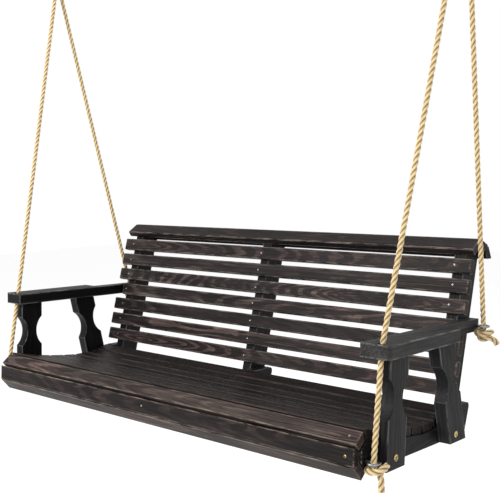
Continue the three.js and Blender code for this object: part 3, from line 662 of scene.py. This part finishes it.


# How strongly a board's figure shows, least and most, and how many steps lighter its tone is. The tone is
# partly stain and partly painted light: the back supports, seat rails, rear crest cap and the left arm's
# parts are darkened as painted shade, and the right armrest and the roll's bottom slat are lightened as
# painted light.
FIGURE = {
    "seat_slat": (0.22, 0.34), "back_slat": (0.60, 1.0), "roll_": (0.50, 0.65), "crest_": (0.45, 0.6),
    "back_support": (0.45, 0.55), "seat_rail": (0.45, 0.55), "armrest": (0.65, 0.7), "front_arm": (0.42, 0.5),
    "rear_arm": (0.45, 0.55),
}
STAIN_AND_PAINTED_SHADING = {
    "back_support": -1.7, "seat_rail": -0.8, "armrest_left": -3.4, "front_arm_post_left": -1.8,
    "crest_rear": -3.2, "crest_": -1.0, "rear_arm_post_left": -1.8, "armrest_right": 1.7, "seat_slat": -0.5,
    "roll_upper": 1.2, "roll_front": -0.5, "roll_bottom": 2.0,
}


def board_value(table, node, missing):
    """A table's first entry whose key begins the node's name."""
    return next((value for key, value in table.items() if node.startswith(key)), missing)


def plain_board(node):
    """A copy of a CAD board in the seat's frame, with its flat faces whole."""
    bm = bmesh.new()
    bm.from_mesh(frame["nodes"][node].data)
    bmesh.ops.transform(bm, matrix=WORLD_TO_SEAT, verts=bm.verts)
    bmesh.ops.remove_doubles(bm, verts=bm.verts, dist=MERGE_DISTANCE)
    bmesh.ops.dissolve_limit(bm, angle_limit=FLAT_ANGLE, verts=bm.verts, edges=bm.edges)
    return bm


def board(node, material, seed, along, face, soften, segments=3):
    """Copies a CAD board, rounds its edges and writes its attributes. along is the direction of its fibres
    and face its broad side's normal, both in the seat's frame."""
    picker = random.Random(seed)
    bm = plain_board(node)
    bmesh.ops.recalc_face_normals(bm, faces=bm.faces)
    sharp = [e for e in bm.edges if e.calc_face_angle(0) > SHARP_ANGLE]
    made = bmesh.ops.bevel(
        bm, geom=sharp, offset=soften, segments=segments, affect="EDGES", profile=0.5, clamp_overlap=True
    )
    rounded = set(made["faces"])
    mesh = bpy.data.meshes.new(f"{node}_timber")
    bm.verts.index_update()
    wear = [float(all(f in rounded for f in v.link_faces)) for v in bm.verts]
    across = Vector(face).cross(along).normalized()
    through = along.cross(across)
    middle = sum((v.co for v in bm.verts), Vector()) / len(bm.verts)
    # Where in its tree the board was cut, and how its fibres slope against its length.
    shift = Vector((picker.uniform(0, 40), picker.uniform(-0.02, 0.02), picker.uniform(0.012, 0.07)))
    slope = Vector((0, picker.uniform(-0.012, 0.012), picker.choice((-1, 1)) * picker.uniform(0.1, 0.5) ** 3))
    local = [Vector(((v.co - middle).dot(d) for d in (along, across, through))) for v in bm.verts]
    low = Vector((min(p[i] for p in local) for i in range(3)))
    high = Vector((max(p[i] for p in local) for i in range(3)))
    place = [p - (low + high) / 2 for p in local]
    grain = [p + shift + slope * p.x for p in local]
    bmesh.ops.transform(bm, matrix=SEAT_TO_WORLD, verts=bm.verts)
    bm.to_mesh(mesh)
    bm.free()
    write_attribute(mesh, "grain", "FLOAT_VECTOR", grain)
    write_attribute(mesh, "place", "FLOAT_VECTOR", place)
    write_attribute(mesh, "half", "FLOAT_VECTOR", [(high - low) / 2] * len(place))
    write_attribute(mesh, "wear", "FLOAT", wear)
    # The tone holds the board's stain, with the painted shade and painted light from the table above.
    tone = board_value(STAIN_AND_PAINTED_SHADING, node, 0.0) + TONE_SPREAD * picker.uniform(-1, 1)
    write_attribute(mesh, "tone", "FLOAT", [tone] * len(grain))
    figure = picker.uniform(*board_value(FIGURE, node, (0.5, 0.8)))
    write_attribute(mesh, "figure", "FLOAT", [figure] * len(grain))
    weighted_normals(finished(f"{node}_timber", mesh, material, "swing", [node]))


def make_timber():
    """Every board, with the direction of its fibres and its broad side's normal."""
    sideways, backwards, upwards = Vector((1, 0, 0)), Vector((0, 1, 0)), Vector((0, 0, 1))
    for seed, node in enumerate(sorted(frame["nodes"]), FIRST_SEED):
        start = node.rpartition("_")[0]
        if node.startswith(("back_slat", "seat_slat", "roll_", "crest_")):
            board(node, SLAT_WOOD, seed, sideways, broad_face(node)[1], SLAT_EDGE)
        elif start == "back_support":
            board(node, FRAME_WOOD, seed, leaning(BACK_LEAN), sideways, FRAME_EDGE)
        elif start == "seat_rail":
            board(node, FRAME_WOOD, seed, backwards, sideways, FRAME_EDGE)
        elif start == "armrest":
            board(node, FRAME_WOOD, seed, backwards, upwards, ARM_EDGE, 4)
        elif start == "rear_arm_post":
            board(node, FRAME_WOOD, seed, leaning(-REAR_POST_LEAN), sideways, POST_EDGE)
        elif start == "front_arm_post":
            lean = FRONT_POST_LEAN[node.rpartition("_")[2]]
            board(node, FRAME_WOOD, seed, leaning(lean), sideways, POST_EDGE)


# ---------------------------------------------------------------- fasteners

# Roughly which way a slat's outer broad face looks.
OUTWARD = {
    "back_slat": Vector((0, -1, 0.25)),
    "seat_slat": Vector((0, 0, 1)),
    "roll_upper": Vector((0, -0.7, 0.7)),
    "roll_front": Vector((0, -1, 0)),
    "roll_bottom": Vector((0, -0.75, -0.65)),
    "crest_front": Vector((0, -0.5, 0.85)),
    "crest_top": Vector((0, 0.4, 0.9)),
    "crest_rear": Vector((0, 0.9, 0.45)),
}


def broad_face(node):
    """Middle and normal of a slat's outer broad face, in the seat's frame."""
    outward = next(v for key, v in OUTWARD.items() if node.startswith(key))
    bm = plain_board(node)
    facing = [f for f in bm.faces if f.normal.dot(outward.normalized()) > 0.8]
    widest = max(facing, key=lambda f: f.calc_area())
    found = widest.calc_center_median().copy(), widest.normal.copy()
    bm.free()
    return found


def scaled(profile):
    """A profile given in millimetres, in metres."""
    return [(radius * MM, along * MM) for radius, along in profile]


SCREW_RADIUS, ROLL_SCREW_RADIUS = 3.1 * MM, 4.5 * MM
SCREW_PROFILE = (  # shares of the radius and millimetres
    (0, -0.9), (0.32, -0.9), (0.38, 0.45), (0.8, 0.4), (1, 0.1), (1, -1.2), (0, -1.2),
)
ROLL_SCREW_X = 0.762
SCREW_DRIFT = 0.003
SCREW_SEED = 31


def screw_head(place, normal, radius=SCREW_RADIUS):
    """A flat screw head with a recess, its rim just proud of the timber."""
    profile = [(share * radius, height * MM) for share, height in SCREW_PROFILE]
    return lathe(profile, SEAT_TO_WORLD @ place, SEAT_TURN @ normal, 18)


def middle_x(node):
    """The place along X of a board that stands across the seat's width."""
    low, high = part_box(node)
    return (low.x + high.x) / 2


def make_screws():
    """One screw where each back or seat slat crosses a support or a rail, and three on the roll. The back's
    and the roll's heads are bright and the seat's are stained over."""
    picker = random.Random(SCREW_SEED)
    side_x, support_x = middle_x("back_support_right"), middle_x("back_support_centre")
    rail_x, centre_rail_x = middle_x("seat_rail_right"), middle_x("seat_rail_centre")
    bright, stained = [], []
    for node in sorted(frame["nodes"]):
        if not node.startswith(("back_slat", "seat_slat", "roll_upper", "roll_front")):
            continue
        middle, normal = broad_face(node)
        uphill = normal.cross(Vector((1, 0, 0)))
        if node.startswith("back_slat"):
            spots = [-side_x, support_x, side_x]
        elif node.startswith("roll_front"):
            spots = [centre_rail_x - 0.012]
        elif node.startswith("roll_upper"):
            spots = [ROLL_SCREW_X]
        else:
            spots = [-rail_x, centre_rail_x, rail_x]
        heads = stained if node.startswith("seat_slat") else bright
        for x in spots:
            x += picker.uniform(-SCREW_DRIFT, SCREW_DRIFT)
            up = picker.uniform(-SCREW_DRIFT, SCREW_DRIFT)
            heads.append(screw_head(Vector((x, middle.y, middle.z)) - uphill * up, normal))
    middle, normal = broad_face("roll_front_slat")
    plated = screw_head(Vector((ROLL_SCREW_X, middle.y, middle.z)), normal, ROLL_SCREW_RADIUS)
    for name, heads, material, slot in (
        ("roll_screw", [plated], BRASS, "brass_bolt"),
        ("slat_screws", bright, ZINC, "zinc_steel"),
        ("seat_screws", stained, BLACK, "hanger_steel"),
    ):
        weighted_normals(finished(name, to_mesh(name, *heads), material, "swing"))


def along_x(node):
    """Middle of a fastener that lies along X, and its X limits, in the seat's frame."""
    points = [WORLD_TO_SEAT @ v.co for v in frame["nodes"][node].data.vertices]
    low = Vector((min(p[i] for p in points) for i in range(3)))
    high = Vector((max(p[i] for p in points) for i in range(3)))
    return (low + high) / 2, low.x, high.x


THREAD_PITCH = 1.25 * MM


def thread(place, axis, radius, length):
    """The ribbed end of a bolt."""
    profile = [(0, 0)]
    for i in range(int(length / THREAD_PITCH)):
        profile += [(radius * 0.88, i * THREAD_PITCH), (radius, (i + 0.5) * THREAD_PITCH)]
    profile += [(radius * 0.8, length), (0, length)]
    return lathe(profile, place, axis, 20)


# Bolts, all in millimetres: profiles are (radius, height), nuts (across corners, height).
DOME_HEIGHT = 4
DOME_PROFILE = ((0, 4), (3.2, 3.7), (6.3, 2.7), (8.2, 1.2), (8.6, 0.9), (9.5, 0.8), (9.5, 0), (0, 0))
BOLT_SHANK, BOLT_TAIL, BOLT_NUT, BOLT_NUT_GAP = 4, 9, (16, 5.6), 0.7
EYE_RADIUS, EYE_BAR, EYE_SHANK, EYE_NECK = 16.75, 3.25, 4.5, 1.5
EYE_TIP, EYE_TAIL, EYE_TAIL_LAP = (3.3, 3), 17, 1
EYE_NUT, EYE_NUT_GAP = (18, 6.8), 4.2
WASHER_PROFILE, WASHER_GAP = ((0, 0), (11, 0), (11, 1.8), (0, 1.8)), 11.2


def make_bolts():
    """Round-headed bolts: a domed head on a washer outside, a nut on the thread inside."""
    for name, side in SIDES:
        for kind in ("front_post_bolt", "rear_post_bolt", "rail_bolt"):
            node = f"{kind}_{name}"
            middle, low, high = along_x(node)
            head_x = high if side > 0 else low
            tail_x = low if side > 0 else high
            inward = SEAT_TURN @ Vector((-side, 0, 0))
            base = SEAT_TO_WORLD @ Vector((head_x - side * DOME_HEIGHT * MM, middle.y, middle.z))
            head = lathe(scaled(DOME_PROFILE), base, -inward)
            tail = SEAT_TO_WORLD @ Vector((tail_x, middle.y, middle.z))
            end = thread(tail, -inward, BOLT_SHANK * MM, BOLT_TAIL * MM)
            nut = hexagon(*BOLT_NUT, tail - inward * BOLT_NUT_GAP * MM, -inward)
            mesh = to_mesh(f"{node}_plated", head, end, nut)
            weighted_normals(finished(f"{node}_plated", mesh, BRASS, "swing", [node]))


def make_eye_bolts():
    """Eye bolts: a level ring outside the timber, a washer and a nut on the thread inside."""
    for name, side in SIDES:
        for kind, eye in (("front_eye_bolt", FRONT_EYE), ("rear_eye_bolt", REAR_EYE)):
            node = f"{kind}_{name}"
            middle, low, high = along_x(node)
            end_x = low if side > 0 else high
            across = SEAT_TURN @ Vector((side, 0, 0))
            depth = SEAT_TURN @ Vector((0, 1, 0))
            centre = seat_point(side * eye[0], eye[1], eye[2])
            hoop = circle(centre, EYE_RADIUS * MM, across, depth, 48)
            ring = swept_part(hoop, EYE_BAR * MM, 14, closed=True)
            neck = centre - across * (EYE_RADIUS - EYE_NECK) * MM
            end = SEAT_TO_WORLD @ Vector((end_x, middle.y, middle.z))
            radius = EYE_SHANK * MM
            plain = (neck - end).length - (EYE_TAIL - EYE_TAIL_LAP) * MM
            tip_radius, tip_length = EYE_TIP
            profile = [(0, 0), (tip_radius * MM, 0), (radius, tip_length * MM), (radius, plain), (0, plain)]
            shank = lathe(profile, neck, -across, 24)
            ribs = thread(end, across, radius, EYE_TAIL * MM)
            washer = lathe(scaled(WASHER_PROFILE), end + across * WASHER_GAP * MM, across)
            nut = hexagon(*EYE_NUT, end + across * EYE_NUT_GAP * MM, across)
            mesh = to_mesh(f"{node}_plated", ring, shank, ribs, washer, nut)
            weighted_normals(finished(f"{node}_plated", mesh, ZINC, "swing", [node]))


def make_rings():
    for name, side in SIDES:
        node = f"top_ring_{name}"
        up = SEAT_TURN @ Vector((0, 0, 1))
        centre = seat_point(side * HOOK_X, 0, RING_BOTTOM_Z + RING_RADIUS)
        route = circle(centre, RING_RADIUS * MM, Vector((1, 0, 0)), up, 72)
        mesh = sweep(f"{node}_plated", route, RING_BAR * MM, 16, closed=True)
        finished(f"{node}_plated", mesh, ZINC, "swing", [node])


HANGER_BAR, HANGER_SPAN, HANGER_BEND, HANGER_STEP = 5 * MM, 30 * MM, 14 * MM, 2.5 * MM
PLATE_THICKNESS, PLATE_CORNER, PLATE_EDGE, CORNER_STEPS = 6 * MM, 10 * MM, 1 * MM, 6
LAG_REACH = 44 * MM  # from the plate's middle to a lag screw
WELD_PROFILE = ((0, 0), (8.5, 0), (6.2, 1.2), (5.0, 3.6), (0, 3.6))
FLANGE_PROFILE = ((0, 0), (7.5, 0), (7.5, 1.2), (0, 1.2))
LAG_HEAD = (11.5, 5.4)


def hanger_plate(x, width, depth):
    """A plate with round corners, its top on the ceiling."""
    plate = bmesh.new()
    rim = []
    for corner_x, corner_y, start in ((1, 1, 0), (-1, 1, 90), (-1, -1, 180), (1, -1, 270)):
        for i in range(CORNER_STEPS + 1):
            angle = math.radians(start + 90 / CORNER_STEPS * i)
            rim_x = x + corner_x * (width / 2 - PLATE_CORNER) + PLATE_CORNER * math.cos(angle)
            rim_y = corner_y * (depth / 2 - PLATE_CORNER) + PLATE_CORNER * math.sin(angle)
            rim.append(Vector((rim_x, rim_y, -PLATE_THICKNESS)))
    face = plate.faces.new([plate.verts.new(p) for p in rim])
    raised = bmesh.ops.extrude_face_region(plate, geom=[face])["geom"]
    top = [v for v in raised if isinstance(v, bmesh.types.BMVert)]
    bmesh.ops.translate(plate, verts=top, vec=(0, 0, PLATE_THICKNESS))
    bmesh.ops.recalc_face_normals(plate, faces=plate.faces)
    edges = [e for e in plate.edges if e.calc_face_angle(0) > math.radians(60)]
    bmesh.ops.bevel(plate, geom=edges, offset=PLATE_EDGE, segments=2, affect="EDGES", profile=0.5)
    return plate


def make_hangers():
    """A rounded plate with a welded U-bar and two lag screws, on the ceiling above each end."""
    down = (0, 0, -1)
    for name, side in SIDES:
        node = f"ceiling_hanger_{name}"
        low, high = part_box(node)
        x = (low.x + high.x) / 2
        bar_z = low.z + HANGER_BAR
        bends = (
            (-HANGER_SPAN, -PLATE_THICKNESS), (-HANGER_SPAN, bar_z),
            (HANGER_SPAN, bar_z), (HANGER_SPAN, -PLATE_THICKNESS),
        )
        corners = [Vector((x, y, z)) for y, z in bends]
        bar = swept_part(rounded_route(corners, HANGER_BEND, HANGER_STEP), HANGER_BAR, 18)
        plate = hanger_plate(x, high.x - low.x, high.y - low.y)
        welds = []
        heads = []
        for y in (-1, 1):
            foot = Vector((x, y * HANGER_SPAN, -PLATE_THICKNESS))
            welds.append(lathe(scaled(WELD_PROFILE), foot, down, 24))
            screw_at = Vector((x, y * LAG_REACH, -PLATE_THICKNESS))
            heads.append(lathe(scaled(FLANGE_PROFILE), screw_at, down, 24))
            heads.append(hexagon(*LAG_HEAD, screw_at, down))
        mesh = to_mesh(f"{node}_coated", plate, bar, *welds)
        weighted_normals(finished(f"{node}_coated", mesh, BLACK, "ceiling", [node]))
        lags = to_mesh(f"lag_screws_{name}", *heads)
        weighted_normals(finished(f"lag_screws_{name}", lags, ZINC, "ceiling"))


# ---------------------------------------------------------------- studio

FLOOR_Z, FLOOR_REACH = -2.62, 14.0
BACKDROP = (0.97, 0.97, 0.97)


def make_floor():
    mesh = bpy.data.meshes.new("floor")
    corners = [(x * FLOOR_REACH, y * FLOOR_REACH, FLOOR_Z) for x, y in ((-1, -1), (1, -1), (1, 1), (-1, 1))]
    mesh.from_pydata(corners, [], [(0, 1, 2, 3)])
    floor = bpy.data.objects.new("floor", mesh)
    bpy.context.scene.collection.objects.link(floor)
    n = Nodes("pale_floor")
    mesh.materials.append(n.set(Base_Color=BACKDROP, Roughness=0.9, Specular_IOR_Level=0.1))


def area_light(name, place, target, size, power):
    data = bpy.data.lights.new(name, "AREA")
    data.shape = "DISK"
    data.size = size
    data.energy = power
    light = bpy.data.objects.new(name, data)
    bpy.context.scene.collection.objects.link(light)
    light.location = place
    light.rotation_mode = "QUATERNION"
    light.rotation_quaternion = (Vector(target) - Vector(place)).to_track_quat("-Z", "Y")


LIT_POINT = (0, 0, -1.5)


def make_studio():
    scene = bpy.context.scene
    world = bpy.data.worlds.new("studio")
    world.use_nodes = True
    background = world.node_tree.nodes["Background"]
    background.inputs["Color"].default_value = (1, 1, 1, 1)
    background.inputs["Strength"].default_value = 1.0
    scene.world = world
    scene.view_settings.view_transform = "Standard"
    area_light("key", (-1.2, -3.6, 0.2), LIT_POINT, 1.2, 150)
    area_light("fill", (3.6, -1.6, 0.4), LIT_POINT, 2.0, 30)
    area_light("top", (0.2, 0.6, 2.2), LIT_POINT, 1.6, 30)


# ---------------------------------------------------------------- assembly

make_camera()
make_ropes()
make_timber()
make_screws()
make_bolts()
make_eye_bolts()
make_rings()
make_hangers()
make_floor()
make_studio()
